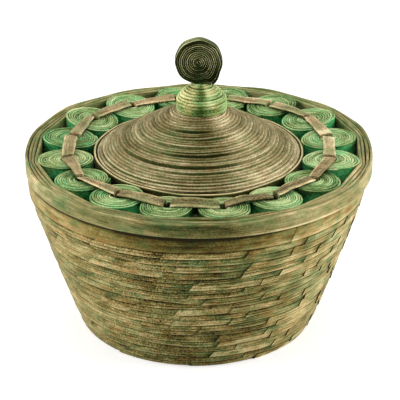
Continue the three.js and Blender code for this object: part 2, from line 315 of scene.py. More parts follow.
class Nodes:
    """Short names for the shader nodes that the paints use."""

    def __init__(self, tree):
        self.tree = tree

    def new(self, kind, values=(), **settings):
        """A shader node with its settings, and with values in its first inputs or those named."""
        node = self.tree.nodes.new("ShaderNode" + kind)
        for key, value in settings.items():
            setattr(node, key, value)
        self.fill(node, values if isinstance(values, dict) else dict(enumerate(values)))
        return node

    def fill(self, node, values):
        """Links sockets to the inputs and writes other values in them."""
        for key, value in values.items():
            if isinstance(value, bpy.types.NodeSocket):
                self.tree.links.new(value, node.inputs[key])
            else:
                node.inputs[key].default_value = value

    def math(self, operation, *values, clamp=False):
        """A sum or another operation on sockets and numbers."""
        return self.new("Math", values, operation=operation, use_clamp=clamp).outputs[0]

    def scaled(self, vector, scale, shift=(0, 0, 0)):
        """The vector times the scale plus the shift."""
        return self.new("VectorMath", (vector, scale, shift), operation="MULTIPLY_ADD").outputs[0]

    def noise(self, vector, scale, detail=2.0, roughness=0.55):
        """Noise of 0 to 1."""
        values = {"Vector": vector, "Scale": scale, "Detail": detail, "Roughness": roughness}
        return self.new("TexNoise", values).outputs[0]

    def marks(self, strip, length, width, apart, detail=2.0, shift=(0, 0, 0)):
        """Noise drawn out along the strips: the marks' length and width, and how far apart the
        patterns of two strips lie."""
        return self.noise(self.scaled(strip, (1 / length, 1 / width, apart), shift), 1.0, detail)

    def centred(self, value, size):
        """A noise of 0 to 1 as plus or minus half of size."""
        return self.math("MULTIPLY", self.math("SUBTRACT", value, 0.5), size)

    def total(self, *values):
        """The sum of the values."""
        result = values[0]
        for value in values[1:]:
            result = self.math("ADD", result, value)
        return result

    def ramp(self, value, stops):
        """A colour ramp. A stop is its place and its sRGB colour."""
        node = self.new("ValToRGB", (value,))
        elements = node.color_ramp.elements
        while len(elements) < len(stops):
            elements.new(0.5)
        for element, (place, *colour) in zip(elements, stops):
            element.position = place
            element.color = linear(*colour)
        return node.outputs[0]

    def mix(self, share, first, second, blend="MIX"):
        """The first colour with a share of the second blended in."""
        values = {0: share, 6: first, 7: second}
        return self.new("Mix", values, data_type="RGBA", blend_type=blend).outputs[2]


def painted(name, gold, green, streak, patch, fleck, moss_share, ochre, moss=2.5, sheen=0.0, grainy=False):
    """Paper painted green with gold brushed over it. gold and green are the colours from the
    recesses to the proud edges, with the brush and without. streak, patch and fleck say how
    much the brush marks move the colour, moss_share how much of the paper stays green, moss how
    sharply it begins to, and ochre how orange the thickest gold is. On grainy paper the specks
    fade and the streaks grow towards the right."""
    material = bpy.data.materials.new(name)
    material.use_nodes = True
    nodes = Nodes(material.node_tree)
    strip = nodes.new("Attribute", attribute_name="strip").outputs["Vector"]
    proud = nodes.new("Attribute", attribute_name="proud").outputs["Fac"]
    bare = nodes.new("Attribute", attribute_name="bare").outputs["Fac"]
    place = nodes.new("TexCoord").outputs["Object"]

    streaks = nodes.marks(strip, 13 * MM, 0.7 * MM, 9.7, 3.0)
    patches = nodes.marks(strip, 15 * MM, 6 * MM, 3.1)
    clouds = nodes.noise(nodes.scaled(place, (1.0, 1.0, 2.4)), 1 / (16 * MM))
    flecks = nodes.noise(place, 1 / (1.1 * MM), 2.0, 0.75)
    if grainy:
        rightward = nodes.new("SeparateXYZ", (place,)).outputs["X"]
        aside = nodes.math("ABSOLUTE", nodes.math("ADD", rightward, 30 * MM))
        fleck = nodes.math("MULTIPLY_ADD", aside, -6.5 * fleck, 1.1 * fleck)
        streak = nodes.math("MULTIPLY_ADD", rightward, 2.2 * streak, 0.76 * streak)
    level = nodes.total(proud, nodes.centred(streaks, streak), nodes.centred(patches, patch),
                        nodes.centred(clouds, patch), nodes.centred(flecks, fleck))

    moss_at = nodes.marks(strip, 11 * MM, 7 * MM, 5.3, shift=(4, 2, 1))
    moss_level = nodes.total(bare, nodes.centred(moss_at, moss), nodes.centred(clouds, 0.5 * moss),
                             nodes.centred(flecks, 0.6 * moss))
    share = nodes.math("ADD", moss_level, moss_share, clamp=True)
    colour = nodes.mix(share, nodes.ramp(level, gold), nodes.ramp(level, green))
    if ochre:
        warm_at = nodes.marks(strip, 9 * MM, 3 * MM, 2.9, shift=(9, 5, 3))
        warm = nodes.total(warm_at, nodes.centred(flecks, 0.5))
        warm = nodes.math("MULTIPLY_ADD", warm, 5.0, -2.6, clamp=True)
        warm = nodes.math("MULTIPLY", warm, ochre)
        colour = nodes.mix(warm, colour, linear(214, 150, 84), "MULTIPLY")

    gilt = nodes.math("SUBTRACT", nodes.math("SUBTRACT", level, share), 0.2, clamp=True)
    relief = nodes.math("ADD", streaks, nodes.math("MULTIPLY", flecks, 0.6))
    bump = nodes.new("Bump", {"Strength": 0.35, "Distance": 0.3 * MM, "Height": relief})
    nodes.fill(material.node_tree.nodes["Principled BSDF"], {
        "Base Color": colour,
        "Metallic": nodes.math("MULTIPLY", gilt, 0.2),
        "Roughness": nodes.math("MULTIPLY_ADD", flecks, 0.25, 0.42),
        "Specular IOR Level": 0.14,
        "Specular Tint": linear(255, 236, 196),
        "Sheen Weight": sheen,
        "Sheen Roughness": 0.4,
        "Sheen Tint": linear(255, 240, 205),
        "Normal": bump.outputs[0],
    })
    return material


def paints():
    """The paints of the basket by slot."""
    wall_gold = [(0, 34, 26, 4), (0.22, 86, 76, 30), (0.42, 124, 110, 52), (0.6, 154, 137, 80),
                 (0.8, 187, 165, 109), (1, 230, 207, 152)]
    wall_green = [(0, 20, 32, 10), (0.3, 50, 77, 36), (0.6, 88, 116, 63), (0.85, 133, 147, 90),
                  (1, 190, 182, 130)]
    rim_gold = [(0, 38, 30, 8), (0.22, 88, 80, 36), (0.42, 128, 118, 68), (0.6, 160, 148, 98),
                (0.8, 190, 172, 124), (1, 230, 210, 162)]
    inner_gold = [(0, 26, 24, 8), (0.4, 70, 72, 38), (1, 140, 132, 84)]
    inner_green = [(0, 16, 30, 14), (0.4, 48, 84, 54), (1, 110, 150, 100)]
    coil_gold = [(0, 36, 66, 26), (0.3, 92, 126, 66), (0.6, 152, 170, 110), (1, 214, 222, 166)]
    coil_green = [(0, 14, 44, 16), (0.3, 40, 112, 58), (0.6, 70, 172, 102), (1, 112, 226, 150)]
    lace_gold = [(0, 36, 28, 8), (0.3, 108, 92, 58), (0.6, 166, 146, 105), (0.85, 198, 174, 130),
                 (1, 238, 224, 180)]
    lace_green = [(0, 26, 26, 6), (0.5, 104, 112, 66), (1, 170, 170, 118)]
    cone_gold = [(0, 50, 46, 16), (0.22, 94, 86, 46), (0.45, 132, 122, 78), (0.7, 170, 156, 118),
                 (1, 230, 215, 176)]
    cone_green = [(0, 26, 36, 10), (0.4, 72, 92, 46), (0.7, 116, 130, 78), (1, 182, 180, 128)]
    hive_gold = [(0, 62, 66, 20), (0.35, 118, 122, 58), (0.7, 184, 184, 118), (1, 236, 232, 172)]
    hive_green = [(0, 36, 56, 16), (0.35, 80, 110, 48), (0.7, 130, 170, 102), (1, 182, 212, 150)]
    knob_gold = [(0, 18, 24, 2), (0.4, 50, 58, 20), (0.7, 110, 114, 62), (1, 226, 222, 170)]
    knob_green = [(0, 16, 30, 8), (0.5, 48, 68, 34), (1, 116, 130, 82)]
    # Slot, its two ramps, streak, patch, fleck, moss_share and ochre, and what only it has
    looks = (
        ("wall_paper", wall_gold, wall_green, 1.35, 0.9, 2.3, 0.3, 0.55, dict(sheen=0.14, grainy=True)),
        ("mouth_paper", wall_gold, wall_green, 0.55, 0.5, 0.9, 0.12, 0.75, dict(sheen=0.14)),
        ("rim_paper", rim_gold, wall_green, 0.8, 0.45, 0.9, 0.3, 0.2, dict(sheen=0.14)),
        ("inner_paper", inner_gold, inner_green, 0.8, 0.8, 0.5, 0.6, 0.0, {}),
        ("coil_paper", coil_gold, coil_green, 0.7, 0.9, 1.5, 0.12, 0.25, {}),
        ("lace_paper", lace_gold, lace_green, 0.8, 0.35, 1.7, 0.33, 0.4, dict(moss=3.2)),
        ("cone_paper", cone_gold, cone_green, 0.7, 0.5, 1.5, 0.1, 0.4, {}),
        ("hive_paper", hive_gold, hive_green, 0.8, 0.6, 1.6, 0.12, 0.3, {}),
        ("knob_paper", knob_gold, knob_green, 0.5, 0.6, 1.4, 0.3, 0.3, {}),
    )
    by_slot = {slot: painted(slot, *look, **own) for slot, *look, own in looks}
    by_slot["base_paper"] = by_slot["inner_paper"]
    return by_slot


PAINTS = paints()
MOUTH_LOW, MOUTH_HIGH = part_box("mouth_wrap_2")
MOUTH_RADIUS = MOUTH_HIGH.x
WALL_TOP = MOUTH_LOW.z
FOOT_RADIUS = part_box("base_disc")[1].x + WALL_BACKING + FOOT_SPREAD


def wall_radius(height):
    """Outer radius of the wall, which flares from the foot to the mouth."""
    share = np.clip(height / WALL_TOP, 0, 1)
    return FOOT_RADIUS + (MOUTH_RADIUS - FOOT_RADIUS) * share ** WALL_FLARE


def wrap_edges(rng):
    """Lower edges of the wraps, uneven in height, with the mouth's own edge last."""
    steps = 1 + rng.uniform(-WRAP_UNEVEN, WRAP_UNEVEN, WRAP_COUNT)
    steps[-TALL_WRAPS:] *= TALL_WRAP
    edges = np.concatenate([[0], np.cumsum(steps)])
    return edges / edges[-1] * WALL_TOP


def edge_line(rng, height, size):
    """A wrap's edge: a height that wavers round the basket."""
    waves = [(count, rng.normal(0, size / 2), rng.uniform(0, TAU)) for count in (2, 3, 5, 9)]
    return lambda angle: height + sum(a * np.sin(count * angle + b) for count, a, b in waves)


def strip_starts(rng, radius, length):
    """Angles at which the strips of one wrap begin, unevenly spread."""
    count = max(3, round(TAU * radius / length))
    starts = (np.arange(count) + rng.uniform(-STRIP_UNEVEN, STRIP_UNEVEN, count)) * TAU / count
    return rng.uniform(0, TAU) + starts


def touched(angles, heights):
    """How much more gold and how much more green the touches of the brush leave at a point."""
    gold = green = 0
    for degrees, height, wide, tall, more_gold, more_green in WALL_TOUCHES:
        level = np.exp(-((heights - height * MM) / (tall * MM)) ** 2)
        here = level * facing(angles, FRONT + math.radians(degrees), math.radians(wide))
        gold += more_gold * here
        green += more_green * here
    return gold, green


def strip_stations(length):
    """Places along a strip from its left end, close together near both ends, as a column."""
    near = row(0, 1.2, 3, 5.5, 9, 14) * MM
    middle = np.linspace(14 * MM, length - 16 * MM, max(2, round(length / (11 * MM))))[1:-1]
    far = length + row(-16, -12, -9, -6.5, -4.5, -2.5, 0, 4, STRIP_OVERLAP / MM) * MM
    return np.concatenate([near, middle, far])[:, None]


def strip_section(rng, grooves, gap):
    """A strip's section from its lower edge over the groove of its fold to its hidden upper
    edge: the rise as a share of the wrap, how far each point stands out and how worn it is. The
    upper edge is dark, partly where the brush missed and partly as painted shade under the next wrap."""
    fold = rng.uniform(0.3, 0.5)
    groove = rng.choice(grooves)
    rise = row(-0.02, -0.02, 0.05, 0.17, fold - 0.055, fold, fold + 0.055,
               0.62, 0.75, 0.86, 0.96, 1.25, 1.25)
    out = row(-0.75, -0.3, 0, 0.08, 0.05, 0.05 - groove, 0.05,
              0.05, 0, -0.15, -0.6, -1.3, -2.4) * MM
    out[9:11] *= 1 - 0.8 * gap
    # Worn: dark towards the hidden upper edge, partly where the brush missed and partly painted shade under
    # the next wrap
    worn = row(0, 0.3, 0.86, 0.72, 0.62, 0.6 - 0.8 * groove, 0.7,
               0.64, 0.54, 0.3, -0.1, 0, 0)
    return rise, out, worn


def shingle(paper, rng, radius, flare, edges, start, length, thickness=STRIP_THICKNESS, slant=STRIP_SLANT,
            lift=STRIP_LIFT, grooves=(0.0, 0.15, 0.3, 0.5), dusk=0.0, gap=0.0):
    """One folded strip of a wrap: its left end stands proud on the strip before it, cut on the
    slant, and its right end tucks under the next one. flare is how far the wall leans out per
    metre of height, edges give the heights of the wrap's edges by angle, start is the left
    end's angle and lift how far it stands off. grooves are the depths in mm that the fold may
    have, dusk is painted shade on the front, and gap paints the lid's shadow on the upper edge
    at the front and left, makes that edge lighter elsewhere and keeps it below the lid."""
    s = strip_stations(length)
    rise, out, worn = strip_section(rng, grooves, gap)
    face = worn > 0.05
    upward = np.clip(rise, 0, 1)
    shear = slant * rng.uniform(0.6, 1.3)
    angle = start + s / radius
    low, high = (edge(angle) for edge in edges)
    tall = high - low
    reach = np.clip(rise, 0, 1.1) * tall * shear
    s = s + reach * np.clip(1 - s / (24 * MM), 0, 1)
    angle = start + s / radius
    tip = np.exp(-s / (6 * MM))
    flank = facing(angle, 0, 0.58) + facing(angle, math.pi, 0.9)
    open_by = lift * max(rng.uniform(-0.8, 1.3), 0) * (1 - 0.7 * flank)
    proud = thickness * (1 - s / length) + open_by * tip
    proud *= 1 - 0.65 * tip * upward
    radii = radius + WALL_LEAN * flare * (rise - 0.5) * tall + proud + out - WALL_DRIFT * np.cos(angle)
    heights = low + rise * tall - 0.3 * MM * tip * np.clip(1 - rise, 0, 1)
    heights = np.clip(heights, 0.1 * MM, low + (1.25 - 0.22 * gap) * tall)
    rings = round_z(radii, angle, heights)

    # Paint: painted shade, dark and green, in the step before the next strip, and a painted highlight on
    # the cut end, both weaker on the left and the sides
    to_step = length + upward * tall * shear - s
    seen = (0.3 + 0.7 * smooth((np.cos(angle) + 0.45) / 0.6)) * (1 - 0.5 * flank)
    depth = rng.uniform(0.9, 2.8) * MM
    shade = seen * np.exp(-np.clip(to_step, 0, None) / depth) * rng.choice([0.1, 0.4, 0.7])
    shade *= 1.1 - 0.8 * upward
    lit = 0.16 * seen * np.exp(-s / (1.4 * MM))
    # Painted shade on the front
    front_shade = dusk * facing(angle, FRONT - 0.1, 0.5)
    brushed = worn + rng.normal(0.0, 0.1) + (lit - shade - front_shade) * face
    # Painted sheen on both sides: the paint there is evened towards a light middle tone
    brushed += np.where(face, 0.7, 0.5) * flank * (0.69 - brushed)
    # The lid's painted shadow on the upper edge at the front and left, and that edge lighter elsewhere
    lid_shadow_at = facing(angle, FRONT + 0.03, 0.42) + facing(angle, FRONT - 1.05, 0.42)
    brushed += gap * smooth((rise - 0.82) / 0.1) * (0.5 - 1.9 * lid_shadow_at)
    gold, green = touched(angle, heights)
    brushed += gold
    bare = 1.2 * shade + 0.08 * rng.normal() + green

    # The cut end's face is painted dark as the shade in the slit
    cap = rings[:1] - 0.1 * MM * row(-math.sin(start), math.cos(start), 0)
    rings = np.concatenate([cap, rings])
    brushed = np.concatenate([np.full((1, len(rise)), -0.3), brushed])
    bare = np.concatenate([np.zeros((1, len(rise))), bare])
    across = np.cumsum(np.abs(np.diff(rise, prepend=rise[0]))) * float(tall.mean())
    paper.add(rings, brushed, across=across, rng=rng, bare=bare)


def wrap(paper, rng, radius, flare, edges, length, **looks):
    """One wrap of strips that overlap like shingles, seated a little inside the radius."""
    radius -= STRIP_SEAT
    starts = strip_starts(rng, radius, length)
    lengths = (np.roll(starts, -1) - starts) % TAU * radius
    for start, own_length in zip(starts, lengths):
        shingle(paper, rng, radius, flare, edges, start, own_length, **looks)


def wall():
    """The wall's outside: wraps of short strips."""
    paper, rng = begin(1)
    heights = wrap_edges(rng)
    wavering = [0] + [WRAP_WAVE] * (WRAP_COUNT - 1) + [0]
    edges = [edge_line(rng, height, size) for height, size in zip(heights, wavering)]
    for k in range(WRAP_COUNT):
        low, high = heights[k:k + 2]
        flare = float(wall_radius(high) - wall_radius(low)) / (high - low)
        radius = float(wall_radius((low + high) / 2))
        # Painted shade on the front, more on the wraps near the lid
        wrap(paper, rng, radius, flare, edges[k:k + 2], STRIP_LENGTH, dusk=0.13 * k / WRAP_COUNT)
    nodes = [f"wall_course_{k + 1}" for k in range(WALL_COURSES)]
    paper.build("wall_strips", "basket", "wall_paper", nodes)


def wall_backing():
    """The wall's inside: each wrap's hidden edge, stepped as it is outside."""
    paper, rng = begin(2)
    angles = full_turn(160)
    step = WALL_TOP / BACKING_WRAPS
    worn = row(0.1, 0.4, 0.6, 0.9, 0.7, 0.1, 0)
    for k in range(BACKING_WRAPS):
        low = k * step
        inner = float(wall_radius(low)) - WALL_BACKING + wave(rng, angles, 0.15 * MM)
        outer = float(wall_radius(low)) - 2.4 * MM
        high = low + step + 0.9 * MM + wave(rng, angles, 0.25 * MM)
        radii = columns(inner + 0.5 * MM, inner, inner, inner + 0.35 * MM, inner + 1.1 * MM, outer, outer)
        heights = columns(low, low + 0.4 * MM, high - 0.5 * MM, high, high - 0.2 * MM, high - 0.4 * MM, low)
        paper.add(round_z(radii, angles, heights), worn, closed=True, rng=rng)
    paper.build("wall_backing", "basket", "inner_paper")


def mouth():
    """The mouth: a tall outer wrap of long strips, and edges of folded strips inside it."""
    paper, rng = begin(3)
    top = MOUTH_HIGH.z
    edges = (edge_line(rng, WALL_TOP, WRAP_WAVE), edge_line(rng, top - 0.4 * MM, 0))
    # The outer wrap has painted shade on the front and the lid's painted shadow along its top
    wrap(paper, rng, MOUTH_RADIUS, 0.0, edges, MOUTH_STRIP_LENGTH, thickness=MOUTH_STRIP_THICKNESS,
         slant=MOUTH_SLANT, lift=0.0, grooves=(0.0, 0.05), dusk=0.5, gap=1.0)
    angles = full_turn(200)
    inside = MOUTH_RADIUS - MOUTH_DEPTH
    pitch = (MOUTH_RADIUS - 1.6 * MM - inside) / MOUTH_FOLDS
    bottom = WALL_TOP - MM
    worn = row(0.1, 0.5, 0.95, 0.95, 0.5, 0.1)
    for k in range(MOUTH_FOLDS):
        first = inside + k * pitch + wave(rng, angles, 0.08 * MM)
        last = first + pitch - 0.25 * MM
        height = top - rng.uniform(0, 0.7) * MM + wave(rng, angles, 0.15 * MM)
        radii = columns(first, first, first + 0.2 * MM, last - 0.2 * MM, last, last)
        heights = columns(bottom, height - 0.3 * MM, height, height, height - 0.3 * MM, bottom)
        paper.add(round_z(radii, angles, heights), worn, closed=True, rng=rng)
    paper.build("mouth_strips", "basket", "mouth_paper", ["mouth_wrap_1", "mouth_wrap_2"])


def base():
    """The base: one strip rolled flat."""
    paper, rng = begin(4)
    low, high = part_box("base_disc")
    turn = winding(BASE_TURNS, 72)
    pitch = (high.x + 0.3 * MM) / (BASE_TURNS + 1)
    outer = pitch * (turn + 1)
    inner = outer - pitch + 0.03 * MM
    top = high.z + drift(rng, turn, 0.25 * MM)
    radii = columns(inner + 0.2 * MM, inner, inner, inner + 0.3 * MM,
                    outer - 0.3 * MM, outer, outer, outer - 0.2 * MM)
    heights = columns(low.z, low.z + 0.4 * MM, top - 0.4 * MM, top,
                      top, top - 0.4 * MM, low.z + 0.4 * MM, low.z)
    worn = row(0.6, 0.1, 0.1, 0.8, 0.8, 0.1, 0.1, 0.6)
    paper.add(round_z(radii, turn * TAU, heights), worn)
    paper.build("base_coil", "basket", "base_paper", ["base_disc"])


RIM_LOW, RIM_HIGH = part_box("lid_rim_wrap_4")
COIL_CENTRES = [sum(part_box(f"coil_{k + 1:02d}"), Vector()) / 2 for k in range(COIL_COUNT)]
COIL_LOW, COIL_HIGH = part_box("coil_01")
COIL_RING = math.hypot(COIL_CENTRES[0].x, COIL_CENTRES[0].y)
COIL_RADIAL = RIM_HIGH.x - RIM_STRIPS * RIM_PITCH - COIL_RING
COIL_TANGENTIAL = COIL_RING * math.sin(COIL_STEP / 2) - 0.1 * MM


def coil_offset(angles):
    """Angle from the nearest coil's own, as a share of the way to the gap beside it."""
    offset = (angles - FIRST_COIL_ANGLE + COIL_STEP / 2) % COIL_STEP - COIL_STEP / 2
    return np.abs(offset) / (COIL_STEP / 2)


def raised(angles):
    """How far the ring of coils is pushed up at an angle."""
    places = (angles - FIRST_COIL_ANGLE) / COIL_STEP % COIL_COUNT
    return np.interp(places, np.arange(COIL_COUNT + 1), COIL_RAISE + COIL_RAISE[:1]) * MM


def rim():
    """Lid rim: folded strips on edge, the inner ones pulled straight from coil to coil."""
    half = COIL_STEP / 2
    angles = full_turn(COIL_COUNT * 24)
    share = np.maximum(coil_offset(angles), 0.12)
    back = facing(angles, math.pi / 2, 1.0)
    bulge = (1.2 * facing_at(angles, 35, 0.45) + 0.8 * facing_at(angles, 140, 0.4)) * MM
    share_risen = 0.68 - 0.14 * facing_at(angles, 60, 0.4)
    rise = share_risen * raised(angles) * smooth((np.sin(angles) + 0.3) / 0.6)
    # Painted shade on the front
    dusk = 0.26 * facing(angles, FRONT - 0.1, 0.5)
    # A painted highlight on the outer strip's lower lip at the front right
    lip_highlight = 0.5 * facing_at(angles, -55, 0.3)
    # Painted light: paler towards both front sides and a little darker at the left
    pale = 0.1 * facing_at(angles, -25, 0.4) + 0.1 * facing_at(angles, -145, 0.25)
    pale -= 0.06 * facing_at(angles, 170, 0.4)
    for k in range(RIM_STRIPS):
        paper, rng = begin(10 + k)
        outermost = k == RIM_STRIPS - 1
        roundness = k / (RIM_STRIPS - 1)
        outer = RIM_HIGH.x - (RIM_STRIPS - 1 - k) * RIM_PITCH
        straight = outer * math.cos(half) / np.cos(half * (1 - share))
        outer = straight * (1 - roundness) + outer * roundness - 0.05 * MM + bulge
        outer += wave(rng, angles, (0.1 if outermost else 0.14) * MM, (3, 5, 11))
        inner = outer - RIM_STRIP
        lower = (0.1, 0.7, 0.5, 0.0)[k] * MM * (1 - 0.8 * facing(angles, FRONT, 0.8))
        top = RIM_HIGH.z + wave(rng, angles, 0.35 * MM, (2, 5, 9, 14)) - lower + rise
        low = RIM_LOW.z
        flare = 0.7 * MM * facing_at(angles, -38, 0.5) if outermost else 1.3 * MM
        radii = ridged(inner, outer, 0.2 * MM, outer + 0.05 * MM, outer + 0.05 * MM + 0.5 * flare,
                       outer + 0.85 * flare, outer + flare, outer + flare, outer + flare - 0.3 * MM)
        heights = columns(low, top - 0.35 * MM, top, top - 0.2 * MM, top, top - 0.35 * MM,
                          top - 2 * MM, (top + low) / 2, low + 1.6 * MM,
                          low + MM, low + 0.2 * MM, low)
        worn = row(0.35, 0.5, 0.48, 0.44, 0.56, 0.6, 0.5, 0.48, 0.5, 0.52, 0.52, 0.3)
        worn = worn - dusk * row(1, 1, 0.4, 0.4, 0.1, 0.1, 1.2, 1, 0.7, 0.6, 0.6, 0.6)
        worn = worn + wave(rng, angles, 0.12, (4, 7, 13)) + (0.1 + 0.12 * back + pale)
        worn += lip_highlight * row(0, 0, 0, 0, 0, 0, 0, 0, 0, 1, 1, 1) * outermost
        bare = row(0.3, 0.25, 0.2, 0.1, 0.1, 0, 0.1, 0.1, 0, 0, 0, 0) + 0.3 * back
        bare += 0.3 * dusk * row(0, 0, 0, 0, 0, 0, 1, 0, -1, -1, -1, -1)
        paper.add(round_z(radii, angles, heights), worn, closed=True, rng=rng, bare=bare)
        paper.build(f"rim_strip_{k + 1}", "lid", "rim_paper", [f"lid_rim_wrap_{k + 1}"])


def coils():
    """Coils: each one strip rolled flat round a hole, its turns of uneven height."""
    turn = winding((COIL_TANGENTIAL - COIL_HOLE) / COIL_PITCH - 1, 40)
    for k, centre in enumerate(COIL_CENTRES):
        paper, rng = begin(30 + k)
        heading = FIRST_COIL_ANGLE + k * COIL_STEP
        frontal = facing(heading, FRONT, 0.9)
        angle = rng.uniform(0, TAU) + turn * TAU
        near_lace = facing(angle, math.pi / 2, 0.65) + facing(angle, -math.pi / 2, 0.65)

        # Outline: drawn out to the rim, and a little out of round
        outer = COIL_HOLE + COIL_PITCH * (turn + 1)
        outer += (COIL_TANGENTIAL - outer.max()) * turn / turn.max()
        inner = outer - COIL_PITCH + 0.03 * MM
        filled = outer / COIL_TANGENTIAL
        stretch = 1 + (COIL_RADIAL / COIL_TANGENTIAL - 1) * np.abs(np.cos(angle)) ** 3 * filled
        stretch += COIL_REACH[k] * MM / COIL_RADIAL * np.clip(np.cos(angle), 0, 1) ** 3 * filled
        sway = 1 + 0.015 * np.cos(3 * angle + rng.uniform(0, TAU)) * np.exp(-outer / (9 * MM))
        sway += 0.006 * np.cos(5 * angle + rng.uniform(0, TAU)) * filled
        stretch += 0.08 * frontal * np.sin(2 * angle) ** 2 * smooth(2 * np.cos(angle)) * filled
        radii = ridged(inner, outer, 0.3 * MM, outer) * (stretch * sway)

        # Top: dished at the hole and under the lacing, rounded off at the outside
        top = COIL_HIGH.z - 0.7 * MM * np.exp(-outer / (6 * MM)) + drift(rng, turn * 3, 0.14 * MM)
        top = top - 0.1 * MM - 0.3 * MM * near_lace * smooth(1 - outer / (15 * MM))
        top -= 0.5 * MM * smooth((outer - COIL_TANGENTIAL + 1.8 * MM) / (1.8 * MM))
        top += COIL_RAISE[k] * MM
        depth = (0.35 + 0.55 * frontal) * MM
        heights = columns(COIL_LOW.z, top - depth, top, top - 0.14 * MM, top, top - depth, COIL_LOW.z)
        out = radii * np.cos(angle) / COIL_RADIAL
        tip = COIL_LEAN[k] * MM * np.clip(out, 0, 1.3) - COIL_DIP[k] * MM * smooth(-out)
        heights += tip * row(0, 1, 1, 1, 1, 1, 0)

        worn = row(0.6, 0.3 - 0.2 * frontal, 0.64, 0.48, 0.68, 0.22, 0.7) + 0.11 * frontal
        # Painted shadow of the lacing in the front coils' grooves beside it
        worn = worn - 0.75 * frontal * near_lace * row(0, 1, 0.5, 0.3, 0, 1, 0)
        worn = worn + drift(rng, turn * 4, 0.12) + rng.normal(0, 0.05) + COIL_GOLD[k]
        bare = row(0.8, 0.5, -0.15, 0.1, -0.15, 0.6, 1.2)
        bare = bare + 0.22 * (near_lace + rng.normal(-0.1, 0.35)) - 0.12 * frontal
        paper.add(round_z(radii, heading + angle, heights), worn, rng=rng, bare=bare)
        paper.build(f"rolled_coil_{k + 1:02d}", "lid", "coil_paper", [f"coil_{k + 1:02d}"],
                    shift=(centre.x, centre.y, 0))


def laced(rng, start, above):
    """One stretch of lacing, from coil to coil above them or below: its rings, worn and bare."""
    ends = row(-0.03, -0.02, -0.01, 0, 0.012, 0.035)
    head, foot = rng.uniform(0.035, 0.075, 2)
    share = np.concatenate([[0], head + ends, np.linspace(0.17, 0.83, 8), 1 - foot - ends[::-1], [1]])
    share = share[:, None]
    spread = np.clip(1 - (2 * share - 1) ** 2, 0, 1)
    angle = start + share * COIL_STEP
    chord = COIL_RING * math.cos(COIL_STEP / 2) / np.cos(angle - start - COIL_STEP / 2)
    chord = chord + rng.normal(0, 0.6) * MM + rng.normal(0, 2.4) * MM * (share - 0.5)
    dive = np.maximum(smooth((head - share) / 0.025), smooth((share - 1 + foot) / 0.025))
    taper = 1 + rng.normal(0, 0.25) * (share - 0.5) + drift(rng, share * 6, 0.05)
    width = LACE_WIDTH * rng.uniform(0.9, 1.05) * (1 - 0.3 * dive) * taper
    bow = 0.8 * MM * spread * rng.uniform(0.3, 1.7) + drift(rng, share * 5, 0.25 * MM)
    tilt = rng.normal(-0.04, 0.06) + 0.2 * facing(angle, FRONT, 0.5) + rng.normal(0, 0.2) * (share - 0.5)
    tilt *= above
    if above:
        middle = COIL_HIGH.z + LACE_ABOVE + raised(angle) + bow - 7 * MM * dive
    else:
        middle = COIL_LOW.z - LACE_BELOW + 4 * MM * dive
    # The thick underside below the outer edge, painted dark, stands for the lacing's shadow on the coils
    side = row(-1, -0.94, -0.5, 0, 0.5, 0.94, 1, 0.94, 0, -0.94) / 2
    face = row(0, 0.5, 0.5, 0.5, 0.5, 0.5, -0.4, -1.6, -1.6, -1.6)
    curl = 0.25 * MM * (1 - (2 * side) ** 2)
    radii = chord + side * (width * np.cos(tilt))
    heights = middle - side * (width * np.sin(tilt)) + face * LACE_THICKNESS + curl
    edge = rng.uniform(0.5, 1.3)
    worn = row(0.9, 0.9, 0.54, 0.52, 0.56, edge, edge, -0.2, -0.2, -0.2)
    worn = worn + rng.normal(0.01, 0.04) + drift(rng, share * 6, 0.07)
    # Painted shade on the middle of the face at the front
    worn = worn - 0.8 * dive - 0.16 * facing(angle, FRONT, 0.5) * (np.abs(side) < 0.45)
    # A painted highlight where the strip folds into a hole
    worn += 1.2 * facing(angle, LACE_HIGHLIGHT_ANGLE, 0.022)
    bare = rng.normal(0, 0.12) + 0.32 * facing(angle, FRONT, 0.45)
    return round_z(radii, angle, heights), worn if above else worn * 0.4, bare


def lacing():
    """Two flat strips laced over and under through the holes of the coils."""
    for first, node in enumerate(("lacing_strip_a", "lacing_strip_b")):
        paper, rng = begin(60 + first)
        for k in range(COIL_COUNT):
            rings, worn, bare = laced(rng, FIRST_COIL_ANGLE + k * COIL_STEP, k % 2 == first)
            paper.add(rings, worn, rng=rng, bare=bare)
        paper.build(f"laced_strip_{first + 1}", "lid", "lace_paper", [node])


CONE_LOW, CONE_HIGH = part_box("lid_cone_coil")
CONE_RADIUS = max(CONE_HIGH.x, -CONE_LOW.x, CONE_HIGH.y, -CONE_LOW.y)
CONE_FOOT = CONE_LOW.z + CONE_STRIP_HEIGHT
HIVE_LOW, HIVE_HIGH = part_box("beehive_coil")
HIVE_RADIUS = (HIVE_HIGH.x - HIVE_LOW.x) / 2
HIVE_CENTRE = (HIVE_HIGH.x + HIVE_LOW.x) / 2


def inner_wrap():
    """The loose strip on edge between the coils and the cone."""
    paper, rng = begin(70)
    low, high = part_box("lid_inner_wrap")
    angles = full_turn(240)
    outer = high.x + wave(rng, angles, 0.15 * MM, (2, 3, 5)) + 0.3 * MM
    outer += 1.4 * MM * facing(angles, FRONT + 0.1, 0.4)
    inner = outer - 1.3 * MM
    top = high.z + wave(rng, angles, 0.3 * MM, (2, 3, 5, 11)) - 0.3 * MM
    top -= MM * facing(angles, FRONT + 0.1, 0.5)
    radii = ridged(inner, outer, 0.15 * MM, outer, outer)
    heights = columns(low.z, top - 0.3 * MM, top, top - 0.2 * MM,
                      top, top - 0.3 * MM, top - 1.2 * MM, low.z)
    worn = row(0, 0.35, 1.05, 0.95, 1.15, 0.5, 0.1, 0.1)
    paper.add(round_z(radii, angles, heights), worn, closed=True, bare=0.1)
    paper.build("inner_wrap_strip", "lid", "rim_paper", ["lid_inner_wrap"])


